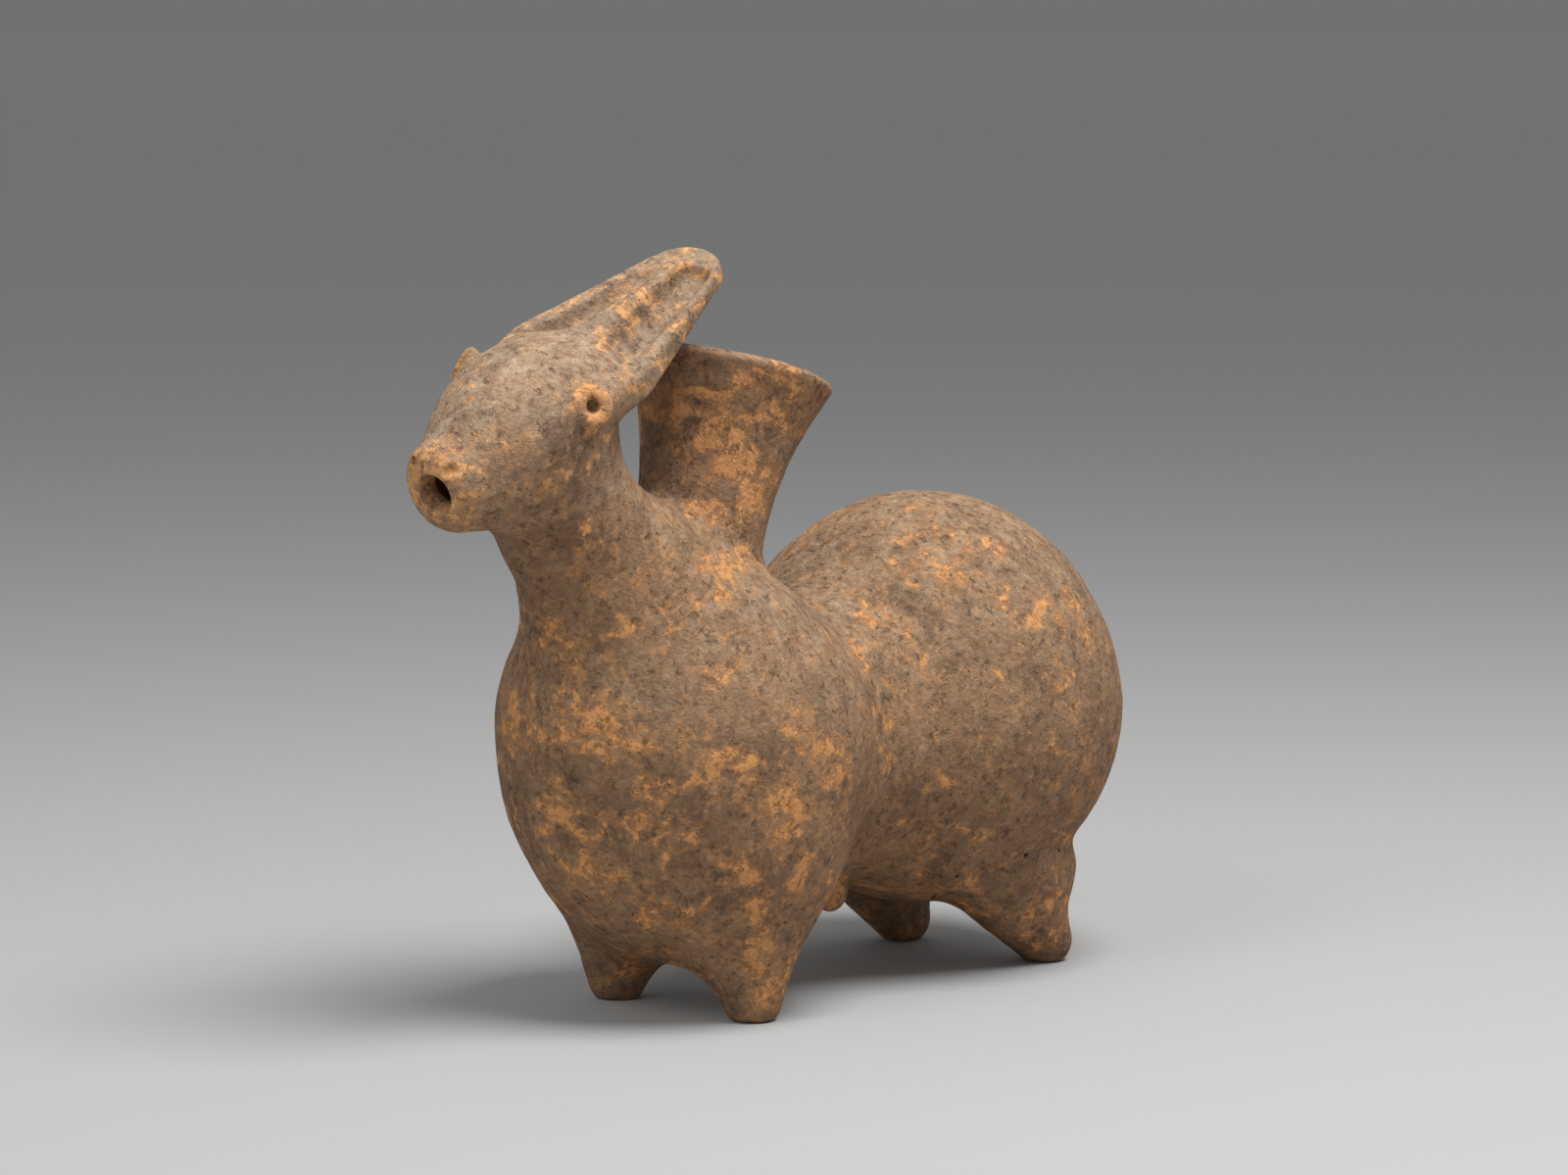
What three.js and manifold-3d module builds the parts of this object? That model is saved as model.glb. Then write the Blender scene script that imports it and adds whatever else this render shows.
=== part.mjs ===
// Rabbit-shaped pouring vessel of fired clay, hollow from the filling funnel to the pierced muzzle.
// Millimetres, +Z up, the head towards -Y, the animal's left side on +X, the four feet on Z = 0.
// Every lump that the potter formed and luted on is a closed solid of its own. Neighbours are parted
// by a hairline joint along the plane where they were pressed together.
import * as THREE from 'three';
import { mergeVertices } from 'three/addons/utils/BufferGeometryUtils.js';
import Module from 'manifold-3d';

const wasm = await Module();
wasm.setup();

// Chest chamber: a globe that is drawn out downwards
const chestWidth = 112;
const chestLength = 114;
const chestRise = 46.3;
const chestDrop = 69.5;
const chestY = -33.3;
const chestZ = 83.3;

// Rump chamber: the larger globe behind it
const rumpWidth = 125;
const rumpLength = 129;
const rumpRise = 69.1;
const rumpDrop = 60.2;
const rumpY = 75.55;
const rumpZ = 79.7;

// Waist: the thick band of clay between the two globes
const waistWidth = 80;
const waistHeight = 86;
const waistLength = 52;
const waistY = 18.8;
const waistZ = 78;
const waistJointY = 12.8;

// Neck: four stations from the shoulders up to the back of the head
const shoulderY = -42.3;
const shoulderZ = 99.2;
const shoulderRadius = 42.6;
const neckRootY = -61.4;
const neckRootZ = 127.5;
const neckRootRadius = 27.5;
const throatY = -84.2;
const throatZ = 152.3;
const throatRadius = 19.7;
const napeY = -86.8;
const napeZ = 168;
const napeRadius = 16.4;

// Head: skull, jowls and a blunt muzzle, the whole leaning a little to the animal's left
const headX = 1;
const headY = -98.7;
const headZ = 186;
const headLean = 8;
const skullWidth = 50;
const skullLength = 58.8;
const skullHeight = 34.4;
const skullPitch = 24.3;
const jowlWidth = 40;
const jowlLength = 41.4;
const jowlHeight = 30.8;
const jowlDrop = 13.3;
const muzzleRootForward = 12.8;
const muzzleRootDrop = 17;
const muzzleRootRadius = 19.2;
const muzzleTipForward = 31.3;
const muzzleTipDrop = 22.4;
const muzzleTipRadius = 13.9;
const mouthSide = 2;
const mouthForward = 39.6;
const mouthDrop = 24.5;
const mouthPitch = 22;
const mouthBore = 11;
const nostrilSpacing = 16;
const nostrilWidth = 2.6;
const nostrilDepth = 2.2;

// Eyes: a pressed ring of clay on each side
const eyeRingRadius = 4;
const eyeRollRadius = 2.1;
const leftEyeSide = 24.1;
const leftEyeForward = 1.3;
const leftEyeRise = 3.2;
const rightEyeSide = 22;
const rightEyeForward = 7;
const rightEyeRise = 6.5;

// Ears: one tongue laid back along the head, parted by a ridge, a thumbed trough in each half
const earBack = 16.2;
const earRise = 12.6;
const earPitch = 29.3;
const earLean = 6.5;
const earRootWidth = 50.4;
const earTipWidth = 24.6;
const earLength = 46.8;
const earRootThickness = 10;
const earTipThickness = 6.4;
const earRidgeRadius = 4.5;
const leftTroughSide = 12.5;
const leftTroughLength = 49;
const leftTroughRadius = 7;
const rightTroughSide = 11;
const rightTroughLength = 33;
const rightTroughRadius = 6.5;

// Filling funnel: a waisted trumpet on the shoulders, tipped back
const funnelY = -27;
const funnelZ = 144.8;
const funnelTilt = 16.6;
const funnelHeight = 47.1;
const funnelWaistRadius = 17.4;
const funnelFlare = 11.4;
const funnelWall = 4.8;
const funnelJointHeight = 2;
const funnelFootSpread = 5;

// Front legs: short cones under the chest
const frontFootX = 27.7;
const frontFootY = -34.1;
const frontFootRadius = 9.1;
const frontFootZ = 6.5;
const frontRootX = 22.1;
const frontRootY = -32.7;
const frontRootZ = 50;
const frontRootRadius = 24.7;
const frontJointX = 25.5;
const frontJointZ = 20;
const frontJointSlope = 32.4;

// Rear legs: a shank under the back of the rump and a haunch roll that runs forward along the belly
const rearFootX = 29.4;
const rearFootY = 101.5;
const rearFootZ = 7;
const rearFootRadius = 9.1;
const rearRootX = 26.2;
const rearRootY = 80.6;
const rearRootZ = 35.4;
const rearRootRadius = 19.7;
const haunchX = 30;
const haunchBackY = 98.8;
const haunchBackZ = 31;
const haunchBackRadius = 11;
const haunchFrontY = 50.8;
const haunchFrontZ = 37;
const haunchFrontRadius = 5;
const rearJointX = 29;
const rearJointZ = 30;
const rearJointSlope = 28;

// Small lump of clay under the waist
const lumpX = 8;
const lumpY = 23.3;
const lumpZ = 31;
const lumpWidth = 11;
const lumpLength = 12;
const lumpHeight = 16;

// Wall of the chambers, and the joint between two luted pieces
const wall = 6;
const headWall = 7;
const joint = 0.3;

// How softly each lump is smeared into its neighbour
const waistBlend = 16;
const rumpBlend = 18;
const neckBlend = 16;
const headBlend = 12;
const jowlBlend = 10;
const legBlend = 14;
const haunchBlend = 5;
const mouthRounding = 8;

const V = (x, y, z) => new THREE.Vector3(x, y, z);
const rad = THREE.MathUtils.degToRad;

// Distances to the lumps, negative inside the clay

function meet(a, b, k) {
  const h = Math.max(k - Math.abs(a - b), 0) / k;
  return Math.min(a, b) - h * h * k / 4;
}

function trim(a, b, k) {
  return -meet(-a, -b, k);
}

function globe(p, centre, rx, ry, rise, drop) {
  const q = V().subVectors(p, centre);
  const r = V(rx, ry, q.z < 0 ? drop : rise);
  const s = q.clone().divide(r);
  const outer = s.length();
  const inner = s.divide(r).length() + 1e-9;
  return outer * (outer - 1) / inner;
}

function cone(p, a, b, ra, rb) {
  const ba = V().subVectors(b, a);
  const pa = V().subVectors(p, a);
  const l2 = ba.lengthSq();
  const rr = ra - rb;
  const a2 = l2 - rr * rr;
  const y = pa.dot(ba);
  const z = y - l2;
  const x2 = pa.multiplyScalar(l2).addScaledVector(ba, -y).lengthSq();
  const y2 = y * y * l2;
  const z2 = z * z * l2;
  const k = Math.sign(rr) * rr * rr * x2;
  if (Math.sign(z) * a2 * z2 > k) return Math.sqrt(x2 + z2) / l2 - rb;
  if (Math.sign(y) * a2 * y2 < k) return Math.sqrt(x2 + y2) / l2 - ra;
  return (Math.sqrt(x2 * a2 / l2) + y * rr) / l2 - ra;
}

// The head's own axes: X to the animal's left, Y forward, Z up
const headAxes = new THREE.Matrix4()
  .makeTranslation(headX, headY, headZ)
  .multiply(new THREE.Matrix4().makeRotationZ(Math.PI))
  .multiply(new THREE.Matrix4().makeScale(-1, 1, 1))
  .multiply(new THREE.Matrix4().makeRotationY(rad(headLean)));
const toHead = headAxes.clone().invert();

// The ears' own axes: X to the left, Y from root to tip, Z out of the open side
const earAxes = headAxes.clone()
  .multiply(new THREE.Matrix4().makeTranslation(0, -earBack, earRise))
  .multiply(new THREE.Matrix4().makeRotationX(-rad(earPitch)))
  .multiply(new THREE.Matrix4().makeScale(1, -1, 1))
  .multiply(new THREE.Matrix4().makeRotationY(rad(earLean)));

const chestCentre = V(0, chestY, chestZ);
const rumpCentre = V(0, rumpY, rumpZ);
const waistCentre = V(0, waistY, waistZ);
const neckStations = [
  [V(0, shoulderY, shoulderZ), shoulderRadius],
  [V(0, neckRootY, neckRootZ), neckRootRadius],
  [V(0, throatY, throatZ), throatRadius],
  [V(0, napeY, napeZ), napeRadius],
];

function head(p) {
  const q = p.clone().applyMatrix4(toHead);
  const tipped = q.clone().applyAxisAngle(V(1, 0, 0), rad(skullPitch));
  const skull = globe(tipped, V(0, 0, 0), skullWidth / 2, skullLength / 2, skullHeight / 2, skullHeight / 2);
  const jowl = globe(q, V(0, 0, -jowlDrop), jowlWidth / 2, jowlLength / 2, jowlHeight / 2, jowlHeight / 2);
  const snout = cone(q, V(0, muzzleRootForward, -muzzleRootDrop), V(0, muzzleTipForward, -muzzleTipDrop),
    muzzleRootRadius, muzzleTipRadius);
  const face = (q.y - mouthForward) * Math.cos(rad(mouthPitch)) - (q.z + mouthDrop) * Math.sin(rad(mouthPitch));
  return meet(meet(skull, trim(snout, face, mouthRounding), headBlend), jowl, jowlBlend);
}

function neck(p) {
  let d = Infinity;
  for (let i = 0; i < 3; i += 1) {
    const [a, ra] = neckStations[i];
    const [b, rb] = neckStations[i + 1];
    const e = cone(p, a, b, ra, rb);
    d = i === 0 ? e : meet(d, e, 8);
  }
  return d;
}

function core(p) {
  let d = globe(p, chestCentre, chestWidth / 2, chestLength / 2, chestRise, chestDrop);
  d = meet(d, globe(p, waistCentre, waistWidth / 2, waistLength / 2, waistHeight / 2, waistHeight / 2), waistBlend);
  d = meet(d, globe(p, rumpCentre, rumpWidth / 2, rumpLength / 2, rumpRise, rumpDrop), rumpBlend);
  d = meet(d, neck(p), neckBlend);
  return meet(d, head(p), headBlend);
}

const frontFoot = V(frontFootX, frontFootY, frontFootZ);
const frontRoot = V(frontRootX, frontRootY, frontRootZ);
const rearFoot = V(rearFootX, rearFootY, rearFootZ);
const rearRoot = V(rearRootX, rearRootY, rearRootZ);
const haunchBack = V(haunchX, haunchBackY, haunchBackZ);
const haunchFront = V(haunchX, haunchFrontY, haunchFrontZ);

function clay(p) {
  const q = V(Math.abs(p.x), p.y, p.z);
  const front = cone(q, frontFoot, frontRoot, frontFootRadius, frontRootRadius);
  const rear = cone(q, rearFoot, rearRoot, rearFootRadius, rearRootRadius);
  const haunch = cone(q, haunchBack, haunchFront, haunchBackRadius, haunchFrontRadius);
  return meet(meet(core(p), front, legBlend), meet(rear, haunch, 8), haunchBlend);
}

// First way out of the clay along a ray, no farther than reach
function wayOut(field, origin, direction, reach, start = 1) {
  let near = start;
  let d = field(origin.clone().addScaledVector(direction, near));
  while (d < 0 && near < reach) {
    const next = Math.min(reach, near + Math.max(0.4, -0.7 * d));
    const e = field(origin.clone().addScaledVector(direction, next));
    if (e >= 0) {
      let lo = near;
      let hi = next;
      for (let i = 0; i < 14; i += 1) {
        const mid = (lo + hi) / 2;
        if (field(origin.clone().addScaledVector(direction, mid)) < 0) lo = mid;
        else hi = mid;
      }
      return lo;
    }
    near = next;
    d = e;
  }
  return Math.min(near, reach);
}

// A sphere drawn out to the surface of the clay round a point, its pole along an axis
function roundBody(field, centre, reach, columns, rows, pole = V(0, 0, 1)) {
  const geometry = new THREE.SphereGeometry(1, columns, rows);
  const turn = new THREE.Quaternion().setFromUnitVectors(V(0, 1, 0), pole.clone().normalize());
  const position = geometry.attributes.position;
  for (let i = 0; i < position.count; i += 1) {
    const direction = V().fromBufferAttribute(position, i).applyQuaternion(turn).normalize();
    const p = centre.clone().addScaledVector(direction, wayOut(field, centre, direction, reach));
    position.setXYZ(i, p.x, p.y, p.z);
  }
  return solid(geometry);
}

// A cylinder drawn out to the surface of the clay round an axis
function longBody(field, from, to, reach, columns, rows) {
  const geometry = new THREE.CylinderGeometry(1, 1, 1, columns, rows);
  const axis = V().subVectors(to, from);
  const turn = new THREE.Quaternion().setFromUnitVectors(V(0, 1, 0), axis.clone().normalize());
  const position = geometry.attributes.position;
  for (let i = 0; i < position.count; i += 1) {
    const q = V().fromBufferAttribute(position, i);
    const foot = from.clone().addScaledVector(axis, q.y + 0.5);
    const direction = V(q.x, 0, q.z);
    if (direction.length() > 0.5) {
      direction.normalize().applyQuaternion(turn);
      foot.addScaledVector(direction, wayOut(field, foot, direction, reach));
    }
    position.setXYZ(i, foot.x, foot.y, foot.z);
  }
  return solid(geometry);
}

// A closed solid from a geometry whose seams are joined
function solid(geometry) {
  geometry.deleteAttribute('normal');
  geometry.deleteAttribute('uv');
  const merged = mergeVertices(geometry, 1e-4);
  const triangles = [];
  for (let i = 0; i < merged.index.count; i += 3) {
    const [a, b, c] = [0, 1, 2].map((k) => merged.index.getX(i + k));
    if (a !== b && b !== c && c !== a) triangles.push(a, b, c);
  }
  const vertProperties = new Float32Array(merged.attributes.position.array);
  const mesh = new wasm.Mesh({ numProp: 3, vertProperties, triVerts: new Uint32Array(triangles) });
  return new wasm.Manifold(mesh);
}

// A cone with round ends between two points
function roundCone(a, b, ra, rb, columns = 20, arc = 5) {
  const length = a.distanceTo(b);
  const lean = Math.asin((ra - rb) / length);
  const profile = [];
  for (let i = 0; i <= arc; i += 1) {
    const t = THREE.MathUtils.lerp(-Math.PI / 2, lean, i / arc);
    profile.push(new THREE.Vector2(ra * Math.cos(t), ra * Math.sin(t)));
  }
  for (let i = 0; i <= arc; i += 1) {
    const t = THREE.MathUtils.lerp(lean, Math.PI / 2, i / arc);
    profile.push(new THREE.Vector2(rb * Math.cos(t), length + rb * Math.sin(t)));
  }
  profile[0].x = 0;
  profile[profile.length - 1].x = 0;
  const geometry = new THREE.LatheGeometry(profile, columns);
  const axis = V().subVectors(b, a).normalize();
  geometry.applyQuaternion(new THREE.Quaternion().setFromUnitVectors(V(0, 1, 0), axis));
  geometry.translate(a.x, a.y, a.z);
  return solid(geometry);
}

// A scaled sphere
function pebble(centre, rx, ry, rz, columns = 16, rows = 10) {
  const geometry = new THREE.SphereGeometry(1, columns, rows);
  geometry.scale(rx, ry, rz);
  geometry.translate(centre.x, centre.y, centre.z);
  return solid(geometry);
}

// All that lies behind a plane, short of it by half a joint
function behind(point, normal) {
  const size = 500;
  const unit = normal.clone().normalize();
  const geometry = new THREE.BoxGeometry(size, size, size);
  geometry.applyQuaternion(new THREE.Quaternion().setFromUnitVectors(V(0, 0, 1), unit));
  const centre = point.clone().addScaledVector(unit, -size / 2 - joint / 2);
  geometry.translate(centre.x, centre.y, centre.z);
  return solid(geometry);
}

// Joint planes
const funnelAxis = V(0, Math.sin(rad(funnelTilt)), Math.cos(rad(funnelTilt)));
const funnelBase = V(0, funnelY, funnelZ);
const waistPlane = [V(0, waistJointY, 0), V(0, 1, 0)];
const neckPlane = [V(0, neckRootY - 41.8, 118), V(0, -0.514, 0.857)];
const headPlane = [V(0, throatY - 4, throatZ + 5.7), V(0, -0.35, 0.937)];
const frontPlane = (side) => [
  V(side * frontJointX, 0, frontJointZ),
  V(side * Math.sin(rad(frontJointSlope)), 0, -Math.cos(rad(frontJointSlope))),
];
const rearPlane = (side) => [
  V(side * rearJointX, 0, rearJointZ),
  V(side * Math.sin(rad(rearJointSlope)), 0, -Math.cos(rad(rearJointSlope))),
];
const beyond = ([point, normal]) => behind(point, normal.clone().negate());
const within = ([point, normal]) => behind(point, normal);
const ground = new THREE.BoxGeometry(500, 500, 500);
ground.translate(0, 0, -250);
const floor = solid(ground);

// The hollow inside: two chambers, the neck passage, the head and the bored mouth
const chamber = (p) => core(p) + wall;
const headHollow = (p) => core(p) + headWall;
const atHead = (x, y, z) => V(x, y, z).applyMatrix4(headAxes);
const mouth = atHead(mouthSide, mouthForward, -mouthDrop);
const intoMouth = atHead(
  mouthSide,
  mouthForward - 40 * Math.cos(rad(mouthPitch)),
  -mouthDrop + 40 * Math.sin(rad(mouthPitch)),
);
const outward = V().subVectors(mouth, intoMouth).normalize();
const boreFrom = mouth.clone().addScaledVector(outward, -24);
const boreTo = mouth.clone().addScaledVector(outward, 20);
const headCentre = atHead(0, 2, -8);
const bore = roundCone(boreFrom, boreTo, mouthBore / 2, mouthBore / 2, 20, 3);
const funnelRadius = (h) => funnelWaistRadius + funnelFlare * (h / funnelHeight) ** 2;
const throat = roundCone(
  funnelBase.clone().addScaledVector(funnelAxis, -16),
  funnelBase.clone().addScaledVector(funnelAxis, 4),
  funnelWaistRadius - funnelWall / 2 - 0.2,
  funnelWaistRadius - funnelWall / 2,
  32,
  4,
);
const hollow = roundBody(chamber, chestCentre, 58, 26, 16)
  .add(roundBody(chamber, rumpCentre, 66, 26, 16))
  .add(longBody(chamber, V(0, shoulderY - 6, shoulderZ + 12), V(0, napeY - 4, napeZ + 2), 26, 20, 5))
  .add(roundBody(headHollow, headCentre, 26, 20, 12, outward))
  .add(bore)
  .add(throat);

// Outer bodies before they are parted
const chestBody = roundBody(clay, chestCentre, 86, 38, 26);
const rumpBody = roundBody(clay, rumpCentre, 84, 38, 26);
const neckBody = longBody(core, V(0, shoulderY - 8, shoulderZ + 12), V(0, napeY - 6, napeZ + 10), 44, 30, 9);
const headBody = roundBody(core, headCentre, 52, 30, 20, outward);

// The collar of clay smeared round the foot of the funnel
function lathed(profile, columns) {
  const geometry = new THREE.LatheGeometry(profile.map(([r, h]) => new THREE.Vector2(r, h)), columns);
  geometry.applyQuaternion(new THREE.Quaternion().setFromUnitVectors(V(0, 1, 0), funnelAxis));
  geometry.translate(funnelBase.x, funnelBase.y, funnelBase.z);
  return solid(geometry);
}
const footRadius = funnelRadius(funnelJointHeight) + funnelWall / 2;
const collar = lathed([
  [0, -24],
  [footRadius + funnelFootSpread * 2, -24],
  [footRadius + funnelFootSpread * 1.5, -8],
  [footRadius + funnelFootSpread * 0.7, -4],
  [footRadius + funnelFootSpread * 0.25, -0.5],
  [footRadius, funnelJointHeight - joint / 2],
  [0, funnelJointHeight - joint / 2],
], 36);

// Wall of the funnel from its joint up to the rounded lip and down the inside
function funnelProfile(grow) {
  const half = funnelWall / 2 + grow;
  const from = grow > 0 ? funnelJointHeight - joint : funnelJointHeight + joint / 2;
  const outside = [];
  const inside = [];
  for (let i = 0; i <= 6; i += 1) {
    const h = THREE.MathUtils.lerp(from, funnelHeight, i / 6);
    outside.push([funnelRadius(h) + half, h]);
    inside.unshift([funnelRadius(h) - half, h]);
  }
  const lip = [30, 60, 90, 120, 150].map((t) => [
    funnelRadius(funnelHeight) + half * Math.cos(rad(t)),
    funnelHeight + half * Math.sin(rad(t)),
  ]);
  if (grow > 0) return [[0, from], ...outside, [0, funnelHeight]];
  return [...outside, ...lip, ...inside, outside[0]];
}
const funnel = lathed(funnelProfile(0), 40);
const funnelRoom = lathed(funnelProfile(joint), 36);

const chest = chestBody.add(collar)
  .intersect(within(neckPlane))
  .intersect(within(waistPlane))
  .intersect(within(frontPlane(1)))
  .intersect(within(frontPlane(-1)))
  .subtract(hollow);

const haunchRoll = (side, grow = 0) => roundCone(
  V(side * haunchX, haunchBackY, haunchBackZ),
  V(side * haunchX, haunchFrontY, haunchFrontZ),
  haunchBackRadius + grow,
  haunchFrontRadius + grow,
);

const rump = rumpBody.add(haunchRoll(1)).add(haunchRoll(-1))
  .intersect(beyond(waistPlane))
  .intersect(within(rearPlane(1)))
  .intersect(within(rearPlane(-1)))
  .subtract(hollow);

const neckPiece = neckBody
  .intersect(beyond(neckPlane))
  .intersect(within(headPlane))
  .subtract(hollow)
  .subtract(funnelRoom);

const nostril = (side) => roundCone(
  atHead(mouthSide + side * nostrilSpacing / 2, mouthForward + 1, -mouthDrop + 8.5),
  atHead(mouthSide + side * nostrilSpacing / 2, mouthForward - nostrilDepth - 1, -mouthDrop + 10),
  nostrilWidth / 2,
  nostrilWidth / 2,
  8,
  2,
);

const headPiece = headBody
  .intersect(beyond(headPlane))
  .subtract(hollow)
  .subtract(nostril(1))
  .subtract(nostril(-1));

// Room that the head takes, with the joint round it
const headRoom = roundBody((p) => core(p) - joint, headCentre, 60, 30, 20, outward);

// Tongue outline of the two ears, thinner towards the tip
function earTongue() {
  const w0 = earRootWidth / 2;
  const w1 = earTipWidth / 2;
  const lean = Math.asin((w0 - w1) / earLength);
  const shape = new THREE.Shape();
  shape.absarc(0, 0, w0 - 2, Math.PI - lean, lean, false);
  shape.absarc(0, earLength, w1 - 2, lean, Math.PI - lean, false);
  const geometry = new THREE.ExtrudeGeometry(shape, {
    depth: 0.4,
    bevelEnabled: true,
    bevelThickness: 0.3,
    bevelSize: 2,
    bevelSegments: 3,
    curveSegments: 14,
  });
  geometry.translate(0, 0, -0.2);
  const position = geometry.attributes.position;
  for (let i = 0; i < position.count; i += 1) {
    const t = THREE.MathUtils.clamp(position.getY(i) / earLength, 0, 1);
    const thickness = THREE.MathUtils.lerp(earRootThickness, earTipThickness, t);
    const sink = THREE.MathUtils.lerp(3, 1.5, t);
    position.setZ(i, position.getZ(i) * thickness - sink);
  }
  return solid(geometry);
}

function ear(side) {
  const troughSide = side > 0 ? leftTroughSide : rightTroughSide;
  const troughLength = side > 0 ? leftTroughLength : rightTroughLength;
  const troughRadius = side > 0 ? leftTroughRadius : rightTroughRadius;
  const ridge = roundCone(V(0, -2, 2.5), V(0, earLength - 1, 1.5), earRidgeRadius, earRidgeRadius * 0.67, 16, 3);
  const trough = roundCone(
    V(side * troughSide, 2, 3.8),
    V(side * troughSide / 2, 2 + troughLength, 4.5),
    troughRadius,
    troughRadius * 0.6,
  );
  return earTongue().add(ridge).subtract(trough)
    .intersect(behind(V(0, 0, 0), V(-side, 0, 0)))
    .transform(earAxes.toArray())
    .subtract(headRoom);
}

function eye(side) {
  const [x, y, z] = side > 0
    ? [leftEyeSide, leftEyeForward, leftEyeRise]
    : [-rightEyeSide, rightEyeForward, rightEyeRise];
  const geometry = new THREE.TorusGeometry(eyeRingRadius, eyeRollRadius, 8, 20);
  const facing = V(x, y + 8, z + 4).normalize();
  geometry.applyQuaternion(new THREE.Quaternion().setFromUnitVectors(V(0, 0, 1), facing));
  geometry.translate(x, y, z);
  return solid(geometry).transform(headAxes.toArray()).subtract(headRoom);
}

function frontLeg(side) {
  const foot = V(side * frontFootX, frontFootY, 0);
  const root = V(side * frontRootX, frontRootY, frontRootZ);
  return longBody(clay, foot, root, 34, 24, 8)
    .intersect(beyond(frontPlane(side)))
    .subtract(floor);
}

function rearLeg(side) {
  const foot = V(side * rearFootX, rearFootY + 1, 0);
  const root = V(side * rearRootX, rearRootY, rearRootZ);
  return longBody(clay, foot, root, 30, 24, 8)
    .add(haunchRoll(side))
    .intersect(beyond(rearPlane(side)))
    .subtract(floor);
}

const lump = pebble(V(lumpX, lumpY, lumpZ), lumpWidth / 2, lumpLength / 2, lumpHeight / 2)
  .subtract(roundBody((p) => clay(p) - joint, rumpCentre, 84, 38, 26));

const vessel = new THREE.Group();

function place(name, body, color, roughness = 0.93) {
  const { vertProperties, triVerts, numProp } = body.getMesh();
  const geometry = new THREE.BufferGeometry();
  const positions = new Float32Array((vertProperties.length / numProp) * 3);
  for (let i = 0; i < positions.length / 3; i += 1) {
    positions.set(vertProperties.subarray(i * numProp, i * numProp + 3), i * 3);
  }
  geometry.setAttribute('position', new THREE.BufferAttribute(positions, 3));
  geometry.setIndex(new THREE.BufferAttribute(new Uint32Array(triVerts), 1));
  geometry.computeVertexNormals();
  const material = new THREE.MeshStandardMaterial({ color, roughness, metalness: 0 });
  const mesh = new THREE.Mesh(geometry, material);
  mesh.name = name;
  vessel.add(mesh);
}

place('chest_chamber', chest, 0x7d6450);
place('rump_chamber', rump, 0x7a624f);
place('neck', neckPiece, 0x7c6350);
place('head', headPiece, 0x84694f);
place('left_ear', ear(1), 0x8a6d55);
place('right_ear', ear(-1), 0x866b55);
place('left_eye', eye(1), 0xb87b48);
place('right_eye', eye(-1), 0xb0774a);
place('filling_funnel', funnel, 0x8f6445);
place('front_left_leg', frontLeg(1), 0x84603f);
place('front_right_leg', frontLeg(-1), 0x7a5f4a);
place('rear_left_leg', rearLeg(1), 0x7d6048);
place('rear_right_leg', rearLeg(-1), 0x6f5848);
place('belly_lump', lump, 0x8a6444);

export default vessel;
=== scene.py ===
import math

import bpy
import numpy as np
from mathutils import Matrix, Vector


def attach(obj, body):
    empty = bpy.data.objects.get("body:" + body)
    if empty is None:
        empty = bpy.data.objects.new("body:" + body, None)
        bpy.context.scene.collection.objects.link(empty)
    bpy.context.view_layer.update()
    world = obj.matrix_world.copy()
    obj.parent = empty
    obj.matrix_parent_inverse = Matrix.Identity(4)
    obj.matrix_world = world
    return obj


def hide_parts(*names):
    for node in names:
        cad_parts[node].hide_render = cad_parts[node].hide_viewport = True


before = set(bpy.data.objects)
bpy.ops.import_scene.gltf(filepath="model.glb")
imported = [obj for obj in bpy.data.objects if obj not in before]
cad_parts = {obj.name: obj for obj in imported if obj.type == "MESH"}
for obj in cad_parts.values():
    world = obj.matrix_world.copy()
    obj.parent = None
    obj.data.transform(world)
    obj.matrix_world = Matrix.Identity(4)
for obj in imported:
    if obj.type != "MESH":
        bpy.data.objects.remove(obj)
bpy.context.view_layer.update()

# The photograph's view: a long lens from the animal's left front quarter, a little above the table.
# It comes first because the worn places on the clay are laid out from this side.
VIEW_FROM = Vector((1.0494, -1.1713, 0.2936))
VIEW_AT = Vector((-0.01396, 0.0268, 0.12118))
FOCAL_MM = 120
SENSOR_MM = 36
FAR_CLIP = 400
camera_data = bpy.data.cameras.new("camera")
camera_data.lens = FOCAL_MM
camera_data.sensor_width = SENSOR_MM
camera_data.clip_end = FAR_CLIP
camera = bpy.data.objects.new("camera", camera_data)
bpy.context.scene.collection.objects.link(camera)
camera.location = VIEW_FROM
camera.rotation_euler = (VIEW_AT - VIEW_FROM).to_track_quat("-Z", "Y").to_euler()
bpy.context.scene.camera = camera


# chest_chamber: the front globe of fired clay, drawn out downwards, with the collar that was smeared
# round the foot of the funnel. It was built up by hand and luted to the rump, neck, funnel and legs.
# The joints are smeared smooth, so its shape takes in every lump, as distance fields in millimetres.
def meet(a, b, smear):
    h = np.maximum(smear - np.abs(a - b), 0) / smear
    return np.minimum(a, b) - h * h * smear / 4


def trim(a, b, smear):
    return -meet(-a, -b, smear)


def globe(p, centre, radii):
    rx, ry, rise, drop = radii
    q = p - np.array(centre, p.dtype)
    r = np.empty_like(q)
    r[:, 0] = rx
    r[:, 1] = ry
    r[:, 2] = np.where(q[:, 2] < 0, drop, rise)
    s = q / r
    outer = np.sqrt((s * s).sum(1))
    inner = np.sqrt(((s / r) ** 2).sum(1)) + 1e-9
    return outer * (outer - 1) / inner


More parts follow.
